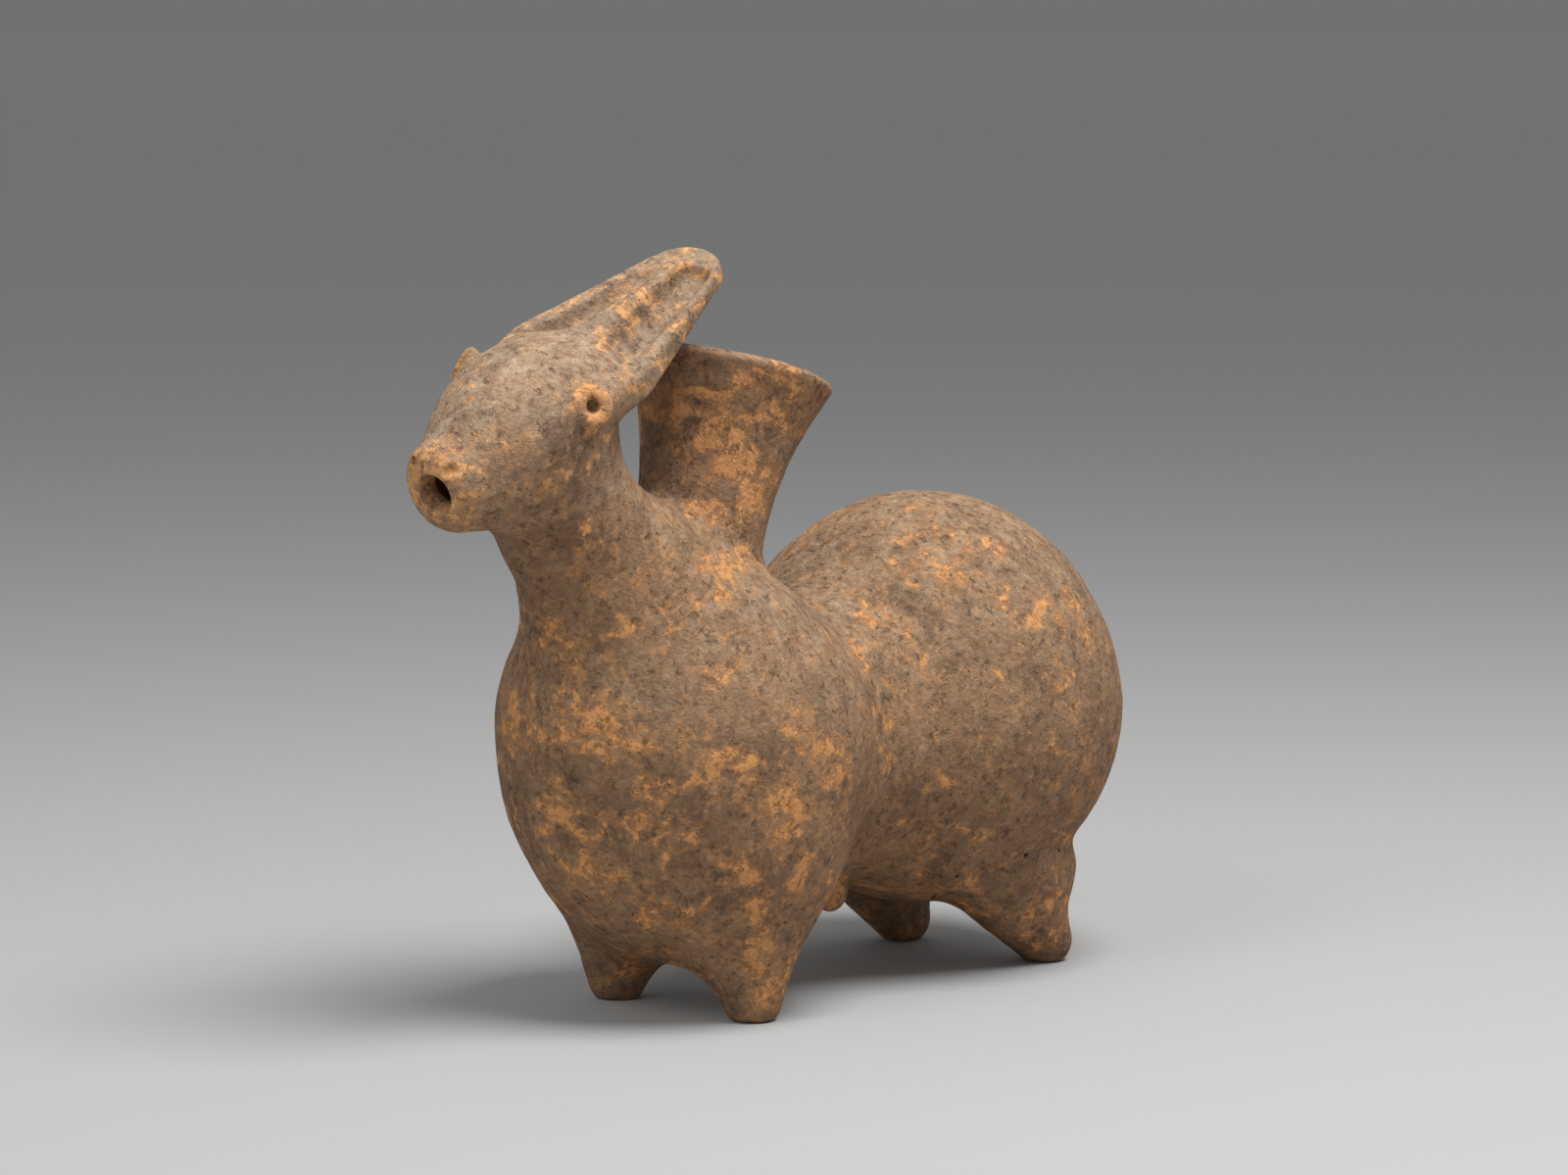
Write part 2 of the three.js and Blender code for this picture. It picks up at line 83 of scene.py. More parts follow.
def cone(p, a, b, ra, rb):
    a = np.array(a, p.dtype)
    ba = np.array(b, p.dtype) - a
    l2 = float(ba @ ba)
    rr = ra - rb
    a2 = l2 - rr * rr
    pa = p - a
    y = pa @ ba
    z = y - l2
    x2 = ((pa * l2 - y[:, None] * ba) ** 2).sum(1)
    y2 = y * y * l2
    z2 = z * z * l2
    k = np.sign(rr) * rr * rr * x2
    side = (np.sqrt(x2 * a2 / l2) + y * rr) / l2 - ra
    tip = np.sqrt(x2 + z2) / l2 - rb
    root = np.sqrt(x2 + y2) / l2 - ra
    return np.where(np.sign(z) * a2 * z2 > k, tip, np.where(np.sign(y) * a2 * y2 < k, root, side))


# The neck as a chain of cones, each station a centre and a radius
NECK_STATIONS = (
    ((0, -42.3, 99.2), 42.6),
    ((0, -61.4, 127.5), 27.5),
    ((0, -84.2, 152.3), 19.7),
    ((0, -86.8, 168), 16.4),
)
NECK_CHAIN_SMEAR = 8


def neck_lump(p):
    d = None
    for (a, ra), (b, rb) in zip(NECK_STATIONS, NECK_STATIONS[1:]):
        e = cone(p, a, b, ra, rb)
        d = e if d is None else meet(d, e, NECK_CHAIN_SMEAR)
    return d


# The head in its own axes: X to the animal's left, Y forwards, Z up
HEAD_ORIGIN = (1, -98.7, 186)
HEAD_LEAN = math.radians(8)
SKULL_PITCH = math.radians(24.3)
SKULL_RADII = (25, 29.4, 17.2, 17.2)
JOWL_CENTRE = (0, 0, -13.3)
JOWL_RADII = (20, 20.7, 15.4, 15.4)
JOWL_SMEAR = 10
SNOUT = ((0, 12.8, -17), (0, 31.3, -22.4), 19.2, 13.9)
SNOUT_SMEAR = 12
MOUTH = (2, 39.6, -24.7)
MOUTH_PITCH = math.radians(22)
MOUTH_ROUNDING = 8


def in_head(p):
    q = p - np.array(HEAD_ORIGIN, p.dtype)
    c = math.cos(HEAD_LEAN)
    s = math.sin(HEAD_LEAN)
    return np.stack([q[:, 0] * c - q[:, 2] * s, -q[:, 1], q[:, 0] * s + q[:, 2] * c], 1)


def head_lump(p):
    q = in_head(p)
    c = math.cos(SKULL_PITCH)
    s = math.sin(SKULL_PITCH)
    tipped = np.stack([q[:, 0], q[:, 1] * c - q[:, 2] * s, q[:, 1] * s + q[:, 2] * c], 1)
    skull = globe(tipped, (0, 0, 0), SKULL_RADII)
    jowl = globe(q, JOWL_CENTRE, JOWL_RADII)
    snout = cone(q, *SNOUT)
    face = (q[:, 1] - MOUTH[1]) * math.cos(MOUTH_PITCH) - (q[:, 2] - MOUTH[2]) * math.sin(MOUTH_PITCH)
    return meet(meet(skull, trim(snout, face, MOUTH_ROUNDING), SNOUT_SMEAR), jowl, JOWL_SMEAR)


# The hollow trunk: chest, waist, rump, neck and head. A globe's last two radii are upwards and downwards.
CHEST_CENTRE = (0, -33.3, 83.3)
CHEST_RADII = (56, 57, 46.3, 69.5)
WAIST_CENTRE = (0, 18.8, 78)
WAIST_RADII = (40, 26, 43, 43)
WAIST_SMEAR = 16
RUMP_CENTRE = (0, 75.55, 79.7)
RUMP_RADII = (62.5, 64.5, 69.1, 60.2)
RUMP_SMEAR = 18
NECK_SMEAR = 16
HEAD_SMEAR = 12


def trunk(p):
    d = globe(p, CHEST_CENTRE, CHEST_RADII)
    d = meet(d, globe(p, WAIST_CENTRE, WAIST_RADII), WAIST_SMEAR)
    d = meet(d, globe(p, RUMP_CENTRE, RUMP_RADII), RUMP_SMEAR)
    d = meet(d, neck_lump(p), NECK_SMEAR)
    return meet(d, head_lump(p), HEAD_SMEAR)


# The ears in their own axes: X to the left, Y from root to tip, Z out of their upper face
EAR_ROOT = (0, -16.2, 12.6)
EAR_PITCH = math.radians(29.3)
EAR_LEAN = math.radians(6.5)
EAR_LENGTH = 46.8
EAR_ROOT_HALF_WIDTH = 25.2
EAR_TIP_HALF_WIDTH = 12.3
EAR_SINK = 3
EAR_RISE = 1.5
EAR_ROOT_HALF_THICKNESS = 5
EAR_THINNING = 1.8
EAR_EDGE = 2.4
EAR_RIDGE = ((0, -2, 2.5), (0, 46, 1.5), 4.5, 3)
EAR_RIDGE_SMEAR = 4
LEFT_TROUGH = ((12.8, 3, 2.6), (6.6, 46, 2.0), 6.7, 4.3)
RIGHT_TROUGH = ((-11.4, 3, 2.6), (-6.2, 37, 3.4), 6.5, 4.4)
TROUGH_ROUNDING = 1.5


def in_ears(p):
    q = in_head(p) - np.array(EAR_ROOT, p.dtype)
    c = math.cos(EAR_PITCH)
    s = math.sin(EAR_PITCH)
    y = -(q[:, 1] * c - q[:, 2] * s)
    z = q[:, 1] * s + q[:, 2] * c
    c = math.cos(EAR_LEAN)
    s = math.sin(EAR_LEAN)
    return np.stack([q[:, 0] * c - z * s, y, q[:, 0] * s + z * c], 1)


def ear_lump(p):
    e = in_ears(p)
    x = np.abs(e[:, 0])
    y = e[:, 1]
    b = (EAR_ROOT_HALF_WIDTH - EAR_TIP_HALF_WIDTH) / EAR_LENGTH
    a = math.sqrt(1 - b * b)
    k = -b * x + a * y
    at_root = np.hypot(x, y) - EAR_ROOT_HALF_WIDTH
    at_tip = np.hypot(x, y - EAR_LENGTH) - EAR_TIP_HALF_WIDTH
    at_side = x * a + y * b - EAR_ROOT_HALF_WIDTH
    rim = np.where(k < 0, at_root, np.where(k > a * EAR_LENGTH, at_tip, at_side))
    t = np.clip(y / EAR_LENGTH, 0, 1)
    flat = np.abs(e[:, 2] + EAR_SINK - EAR_RISE * t) - (EAR_ROOT_HALF_THICKNESS - EAR_THINNING * t)
    rim = rim + EAR_EDGE
    flat = flat + EAR_EDGE
    d = np.hypot(np.maximum(rim, 0), np.maximum(flat, 0)) + np.minimum(np.maximum(rim, flat), 0) - EAR_EDGE
    d = meet(d, cone(e, *EAR_RIDGE), EAR_RIDGE_SMEAR)
    for trough in (LEFT_TROUGH, RIGHT_TROUGH):
        d = trim(d, -cone(e, *trough), TROUGH_ROUNDING)
    return d


# The funnel's clay, with the height above its base and the distance outwards from its inner face
FUNNEL_BASE = (0, -27, 144.8)
FUNNEL_TILT = math.radians(16.6)
FUNNEL_HEIGHT = 47.1
FUNNEL_FOOT = 14
FUNNEL_NARROWEST = 17.4
FUNNEL_FLARE = 11.4
FUNNEL_HALF_WALL = 2.4


def funnel_lump(p):
    q = p - np.array(FUNNEL_BASE, p.dtype)
    c = math.cos(FUNNEL_TILT)
    s = math.sin(FUNNEL_TILT)
    h = q[:, 1] * s + q[:, 2] * c
    r = np.hypot(q[:, 0], q[:, 1] * c - q[:, 2] * s)
    t = np.clip(h, -FUNNEL_FOOT, FUNNEL_HEIGHT) / FUNNEL_HEIGHT
    middle = FUNNEL_NARROWEST + FUNNEL_FLARE * t * t
    lean = 2 * FUNNEL_FLARE * t / FUNNEL_HEIGHT
    shell = np.abs(r - middle) / np.sqrt(1 + lean * lean)
    end = np.maximum(np.maximum(h - FUNNEL_HEIGHT, -FUNNEL_FOOT - h), 0)
    return np.hypot(shell, end) - FUNNEL_HALF_WALL, h, r - middle + FUNNEL_HALF_WALL


# The eyes, in the head's axes: a rolled ring and the pit pressed inside it. Each faces straight away
# from a point in the skull that lies behind and below the origin of the head.
LEFT_EYE = (24.1, 1.3, 3.2)
RIGHT_EYE = (-22, 7, 6.5)
FACING_FROM_BEHIND = 8
FACING_FROM_BELOW = 4
EYE_RING_RADIUS = 4.1
EYE_ROLL_RADIUS = 2.2
EYE_PIT_RADIUS = 2.2
EYE_PIT_RISE = 0.4


def eye_lump(p, centre):
    q = in_head(p) - np.array(centre, p.dtype)
    x, y, z = centre
    facing = np.array((x, y + FACING_FROM_BEHIND, z + FACING_FROM_BELOW), float)
    facing = (facing / np.linalg.norm(facing)).astype(p.dtype)
    out = q @ facing
    flat = np.sqrt(np.maximum((q * q).sum(1) - out * out, 0))
    ring = np.hypot(flat - EYE_RING_RADIUS, out) - EYE_ROLL_RADIUS
    pit = np.hypot(flat, out - EYE_PIT_RISE) - EYE_PIT_RADIUS
    return ring, pit


# The left legs and haunch, mirrored for the right, and the bead under the waist
FRONT_LEG = ((27.7, -34.1, 6.5), (22.1, -32.7, 50), 9.1, 24.7)
REAR_SHANK = ((29.4, 101.5, 7), (26.2, 80.6, 35.4), 9.1, 19.7)
HAUNCH = ((30.5, 97.5, 31), (31.5, 52, 36), 11.3, 6)
HAUNCH_SMEAR = 8
BEAD_CENTRE = (8, 23.3, 31)
BEAD_RADII = (5.5, 6, 8, 8)


def legs(p):
    q = p.copy()
    q[:, 0] = np.abs(q[:, 0])
    return cone(q, *FRONT_LEG), meet(cone(q, *REAR_SHANK), cone(q, *HAUNCH), HAUNCH_SMEAR)


def lumps(p):
    funnel, height, room = funnel_lump(p)
    left_ring, left_pit = eye_lump(p, LEFT_EYE)
    right_ring, right_pit = eye_lump(p, RIGHT_EYE)
    return {
        "trunk": trunk(p),
        "ears": ear_lump(p),
        "funnel": funnel,
        "funnel height": height,
        "funnel room": room,
        "eye rings": meet(left_ring, right_ring, 1),
        "eye pits": np.minimum(left_pit, right_pit),
        "left eye": np.minimum(left_ring, left_pit + 1),
        "right eye": np.minimum(right_ring, right_pit + 1),
        "bead": globe(p, BEAD_CENTRE, BEAD_RADII),
    }


# The unevenness that the hands left in the surface, in waves about 60 mm and about 15 mm long
BROAD_RELIEF = 0.32
FINE_RELIEF = 0.13


def relief(p):
    x = p[:, 0]
    y = p[:, 1]
    z = p[:, 2]
    broad = np.sin(x / 9.1 + 1.3 * np.sin(z / 13)) * np.sin(y / 10.7 + 0.9 * np.sin(x / 15))
    broad = broad * np.sin(z / 8.3 + 0.4)
    fine = np.sin(x / 2.3 + 1.7 * np.sin(y / 4.1)) * np.sin(y / 2.7 + 1.2 * np.sin(z / 3.7))
    fine = fine * np.sin(z / 2.5)
    return BROAD_RELIEF * broad + FINE_RELIEF * fine


# The planes of the joints. A distance to one is above nought past the joint, going away from the chest.
WAIST_JOINT_Y = 12.8
NECK_JOINT = ((0, -103.2, 118), (0, -0.514, 0.857))
HEAD_JOINT = ((0, -88.2, 158), (0, -0.35, 0.937))
FRONT_LEG_JOINT = (25.5, 20, math.radians(32.4))
REAR_LEG_JOINT = (29, 30, math.radians(28))


def past_plane(p, point, normal):
    n = np.array(normal, float)
    n = n / np.linalg.norm(n)
    return (p - np.array(point, p.dtype)) @ n.astype(p.dtype)


def past_waist(p):
    return p[:, 1] - WAIST_JOINT_Y


def past_leg_joint(p, joint, side):
    x, z, lean = joint
    return past_plane(p, (side * x, 0, z), (side * math.sin(lean), 0, -math.cos(lean)))


# The whole vessel: the lumps smeared together, roughened, cut flat at the soles and hollowed out
EAR_SMEAR = 5
EYE_SMEAR = 2
FUNNEL_SMEAR = 7
BEAD_SMEAR = 2
FRONT_LEG_SMEAR = 14
REAR_LEG_SMEAR = 5
NOSTRIL_SLIT = ((7.2, 40, -16.6), (11.4, 37.6, -15.2), 1.5, 1)
NOSTRIL_DOT = ((-6.2, 42, -17), (-6.2, 37, -15.6), 1.3, 1.2)
NOSTRIL_ROUNDING = 0.8
PIT_ROUNDING = 1
SOLE_ROUNDING = 1
HOLLOW_ROUNDING = 1
SPOUT_ROUNDING = 1.6
SPOUT_RADIUS = 5.8
SPOUT_TAPER = 0.01
SPOUT_INWARDS = 24
SPOUT_OUTWARDS = 20
WALL = 6
HEAD_WALL = 7
NAPE_Y = -60
THROAT_GAP = 0.3
THROAT_DEPTH = 16
FAR_AWAY = 99


def clay(p):
    part = lumps(p)
    front, rear = legs(p)
    d = meet(part["trunk"], part["ears"], EAR_SMEAR)
    d = meet(d, part["eye rings"], EYE_SMEAR)
    d = trim(d, -part["eye pits"], PIT_ROUNDING)
    d = meet(d, part["funnel"], FUNNEL_SMEAR)
    d = meet(d, part["bead"], BEAD_SMEAR)
    d = meet(d, front, FRONT_LEG_SMEAR)
    d = meet(d, rear, REAR_LEG_SMEAR)
    q = in_head(p)
    d = trim(d, -np.minimum(cone(q, *NOSTRIL_SLIT), cone(q, *NOSTRIL_DOT)), NOSTRIL_ROUNDING)
    d = d + relief(p)
    d = trim(d, -p[:, 2], SOLE_ROUNDING)
    x, y, z = MOUTH
    c = math.cos(MOUTH_PITCH)
    s = math.sin(MOUTH_PITCH)
    inner_end = (x, y - SPOUT_INWARDS * c, z + SPOUT_INWARDS * s)
    outer_end = (x, y + SPOUT_OUTWARDS * c, z - SPOUT_OUTWARDS * s)
    spout = cone(q, inner_end, outer_end, SPOUT_RADIUS, SPOUT_RADIUS - SPOUT_TAPER)
    height = part["funnel height"]
    throat = np.maximum(part["funnel room"] + THROAT_GAP, -THROAT_DEPTH - height)
    throat = np.where(height > FUNNEL_HEIGHT, FAR_AWAY, throat)
    in_the_head = (past_plane(p, *HEAD_JOINT) > 0) & (p[:, 1] < NAPE_Y)
    hollow = np.where(in_the_head, part["trunk"] + HEAD_WALL, part["trunk"] + WALL)
    d = trim(d, -np.minimum(hollow, throat), HOLLOW_ROUNDING)
    return trim(d, -spout, SPOUT_ROUNDING)


# The mesh of a field. Blocks of cubes far from its surface keep the rough value at their middle.
BLOCK = 4
NEAR_STEPS = 5.5
BATCH = 400000


def net(field, low, high, step):
    low = np.floor(np.array(low) / step) * step
    n = np.ceil((np.array(high) - low) / step).astype(int) + 1
    n = (n + BLOCK - 1) // BLOCK * BLOCK
    axes = [(low[i] + step * np.arange(n[i])).astype(np.float32) for i in range(3)]
    rough_axes = [a[::BLOCK] + np.float32((BLOCK - 1) / 2 * step) for a in axes]
    rough = np.stack(np.meshgrid(*rough_axes, indexing="ij"), -1).reshape(-1, 3)
    g = field(rough).reshape([len(a) for a in rough_axes]).astype(np.float32)
    for axis in range(3):
        g = np.repeat(g, BLOCK, axis)
    near = np.argwhere(np.abs(g) < NEAR_STEPS * step)
    p = np.stack([axes[i][near[:, i]] for i in range(3)], 1)
    values = np.concatenate([field(part) for part in np.array_split(p, max(1, len(p) // BATCH))])
    g[tuple(near.T)] = values
    inside = g < 0
    shape = np.array(g.shape)
    total = np.zeros(tuple(shape - 1) + (3,), np.float32)
    count = np.zeros(shape - 1, np.float32)
    for axis in range(3):
        a = np.moveaxis(g, axis, 0)
        b = np.moveaxis(inside, axis, 0)
        crossed = b[1:] != b[:-1]
        t = np.where(crossed, a[:-1] / np.where(crossed, a[:-1] - a[1:], 1), 0)
        crossed = np.moveaxis(crossed, 0, axis)
        t = np.moveaxis(t, 0, axis)
        first, second = [k for k in range(3) if k != axis]
        for du in (0, 1):
            for dv in (0, 1):
                part = [slice(None)] * 3
                part[first] = slice(du, shape[first] - 1 + du)
                part[second] = slice(dv, shape[second] - 1 + dv)
                c = crossed[tuple(part)]
                count += c
                total[..., axis] += np.where(c, t[tuple(part)], 0)
                total[..., first] += c * du
                total[..., second] += c * dv
    cells = count > 0
    index = np.full(cells.shape, -1, np.int64)
    index[cells] = np.arange(cells.sum())
    points = low + step * (np.argwhere(cells) + total[cells] / count[cells][:, None])
    quads = []
    for axis in range(3):
        b = np.moveaxis(inside, axis, 0)
        crossed = np.moveaxis(b[1:] != b[:-1], 0, axis)
        start = np.moveaxis(b[:-1], 0, axis)
        u = (axis + 1) % 3
        w = (axis + 2) % 3
        e = np.argwhere(crossed)
        e = e[(e[:, u] > 0) & (e[:, w] > 0) & (e[:, u] < shape[u] - 1) & (e[:, w] < shape[w] - 1)]
        du = np.eye(3, dtype=int)[u]
        dw = np.eye(3, dtype=int)[w]
        q = np.stack([index[tuple(k.T)] for k in (e - du - dw, e - dw, e, e - du)], 1)
        back = ~start[tuple(e.T)]
        q[back] = q[back][:, ::-1]
        quads.append(q)
    return points, np.concatenate(quads)


SLOPE_REACH = 0.15


def slope(field, p):
    g = np.empty_like(p)
    for k in range(3):
        d = np.zeros(3)
        d[k] = SLOPE_REACH
        g[:, k] = (field(p + d) - field(p - d)) / (2 * SLOPE_REACH)
    return g


# The clay on one side of a parting. Its points are drawn onto the surface, or where the surface meets
# the parting onto both at once.
SEAM = 0.02
EDGE_STEPS = 0.9
LEAST_SLOPE = 0.2
LEAST_TURN = 0.15
LONGEST_MOVE = 0.8
ROUNDS = 3


def model(parting, low, high, step):
    points, quads = net(lambda p: np.maximum(clay(p), parting(p) + SEAM), low, high, step)
    reach = EDGE_STEPS * step
    edge = (np.abs(clay(points)) < reach) & (np.abs(parting(points) + SEAM) < reach)
    for _ in range(ROUNDS):
        a = clay(points)
        b = parting(points) + SEAM
        ga = slope(clay, points)
        gb = slope(parting, points)
        aa = np.maximum((ga * ga).sum(1), LEAST_SLOPE)
        bb = np.maximum((gb * gb).sum(1), LEAST_SLOPE)
        ab = (ga * gb).sum(1)
        move = np.where((a > b)[:, None], -(a / aa)[:, None] * ga, -(b / bb)[:, None] * gb)
        det = aa * bb - ab * ab
        both = edge & (det > LEAST_TURN * aa * bb)
        det = np.where(both, det, 1)
        la = (-a * bb + b * ab) / det
        lb = (-b * aa + a * ab) / det
        move = np.where(both[:, None], la[:, None] * ga + lb[:, None] * gb, move)
        size = np.linalg.norm(move, axis=1)
        move *= np.minimum(1, LONGEST_MOVE * step / np.maximum(size, 1e-9))[:, None]
        points = points + move
    return points, quads


# Worn places, where the stain is rubbed off to orange: centre and half size in the photograph's pixels.
# Their edges waver and fray by a few pixels.
PHOTO_WIDTH = 1600
PHOTO_HEIGHT = 1199
WORN = {
    "muzzle and brow": ((445, 480, 34, 26), (470, 515, 26, 30), (497, 357, 8, 6), (486, 395, 7, 6)),
    "left eye and cheek": ((603, 391, 20, 9), (592, 415, 9, 28), (606, 441, 16, 8), (600, 470, 8, 14),
                           (560, 490, 22, 18)),
    "ridge of the ears": ((640, 320, 14, 26), (655, 300, 12, 16), (672, 278, 12, 10), (695, 263, 18, 8),
                          (615, 346, 14, 7)),
    "edge of the left ear": ((634, 368, 5, 26), (656, 394, 10, 8), (677, 369, 10, 8), (697, 333, 9, 12),
                             (714, 311, 8, 12), (729, 292, 7, 14)),
    "funnel": ((745, 450, 38, 42), (765, 505, 24, 36), (700, 420, 30, 14), (790, 385, 62, 8),
               (715, 520, 34, 10), (735, 575, 40, 18), (800, 430, 16, 30)),
    "neck": ((600, 537, 12, 14), (616, 560, 7, 6), (640, 590, 10, 14), (570, 650, 10, 16)),
    "shoulder": ((641, 641, 20, 9), (687, 636, 12, 7), (671, 619, 9, 6), (730, 611, 28, 11),
                 (745, 652, 8, 11), (730, 686, 22, 12)),
    "breast": ((549, 737, 12, 23), (605, 729, 35, 20), (644, 841, 6, 20), (676, 855, 6, 28),
               (520, 740, 8, 30), (610, 770, 30, 10), (560, 830, 12, 30), (590, 880, 10, 20)),
    "side of the chest": ((731, 776, 17, 16), (764, 777, 18, 14), (732, 823, 16, 9), (805, 745, 11, 17),
                          (839, 762, 26, 22), (803, 824, 23, 44), (859, 792, 22, 14), (690, 800, 50, 8),
                          (700, 930, 30, 12), (760, 890, 26, 20), (820, 900, 14, 30)),
    "front legs": ((775, 955, 16, 58), (660, 935, 12, 20), (640, 985, 22, 14)),
    "waist": ((880, 664, 12, 16), (880, 630, 14, 12), (905, 780, 10, 20), (851, 905, 12, 14)),
    "top of the rump": ((1023, 610, 9, 12), (1059, 628, 13, 21), (1038, 632, 11, 8), (934, 598, 8, 7),
                        (908, 579, 8, 7), (945, 673, 8, 7), (940, 545, 30, 6), (1000, 560, 20, 6),
                        (1090, 690, 8, 16), (1020, 690, 8, 10)),
    "side of the rump": ((920, 842, 11, 11), (950, 760, 16, 8), (1010, 760, 14, 8), (960, 800, 22, 8),
                         (1080, 760, 10, 8), (1000, 850, 26, 8)),
    "rear legs": ((985, 896, 20, 11), (1084, 852, 8, 5), (1070, 930, 9, 30), (1050, 950, 7, 26),
                  (930, 960, 12, 10)),
}
LEAST_FACING = 0.08
EDGE_WAVER = 6
EDGE_FRAY = 4
MM = 0.001


def photo_place(points):
    back = np.array((VIEW_FROM - VIEW_AT).normalized())
    right = np.cross((0, 0, 1), back)
    right = right / np.linalg.norm(right)
    up = np.cross(back, right)
    d = points * MM - np.array(VIEW_FROM)
    depth = -(d @ back)
    f = FOCAL_MM / SENSOR_MM * PHOTO_WIDTH
    return PHOTO_WIDTH / 2 + f * (d @ right) / depth, PHOTO_HEIGHT / 2 - f * (d @ up) / depth, -d


# How worn each point is, from -1 to 1. The far side has the places of the near side, mirrored.
def wear_on(points, normals):
    worn = np.full(len(points), -1.0)
    for mirror in (1, -1):
        flip = np.array((mirror, 1, 1))
        u, v, to_view = photo_place(points * flip)
        facing = (normals * flip * to_view).sum(1) / np.linalg.norm(to_view, axis=1)
        u = u + EDGE_WAVER * np.sin(v / 7 + 2 * np.sin(u / 19)) + EDGE_FRAY * np.sin(v / 3.1)
        v = v + EDGE_WAVER * np.sin(u / 8 + 2 * np.sin(v / 17)) + EDGE_FRAY * np.sin(u / 3.7)
        for places in WORN.values():
            for x, y, w, h in places:
                spot = 1 - ((u - x) / w) ** 2 - ((v - y) / h) ** 2
                worn = np.maximum(worn, np.where(facing > LEAST_FACING, np.maximum(spot, -1), -1))
    return worn


SHARP_EDGE = math.radians(50)


def clay_mesh(name, points, quads):
    mesh = bpy.data.meshes.new(name)
    mesh.vertices.add(len(points))
    mesh.vertices.foreach_set("co", (points * MM).astype(np.float32).ravel())
    mesh.loops.add(len(quads) * 4)
    mesh.loops.foreach_set("vertex_index", quads.ravel().astype(np.int32))
    mesh.polygons.add(len(quads))
    mesh.polygons.foreach_set("loop_start", np.arange(0, len(quads) * 4, 4, dtype=np.int32))
    mesh.update(calc_edges=True)
    mesh.validate()
    mesh.polygons.foreach_set("use_smooth", np.ones(len(mesh.polygons), bool))
    mesh.set_sharp_from_angle(angle=SHARP_EDGE)
    normals = np.empty(len(mesh.vertices) * 3, np.float32)
    mesh.vertices.foreach_get("normal", normals)
    worn = mesh.attributes.new("worn", "FLOAT", "POINT")
    worn.data.foreach_set("value", wear_on(points, normals.reshape(-1, 3)).astype(np.float32))
    mesh.update()
    return mesh


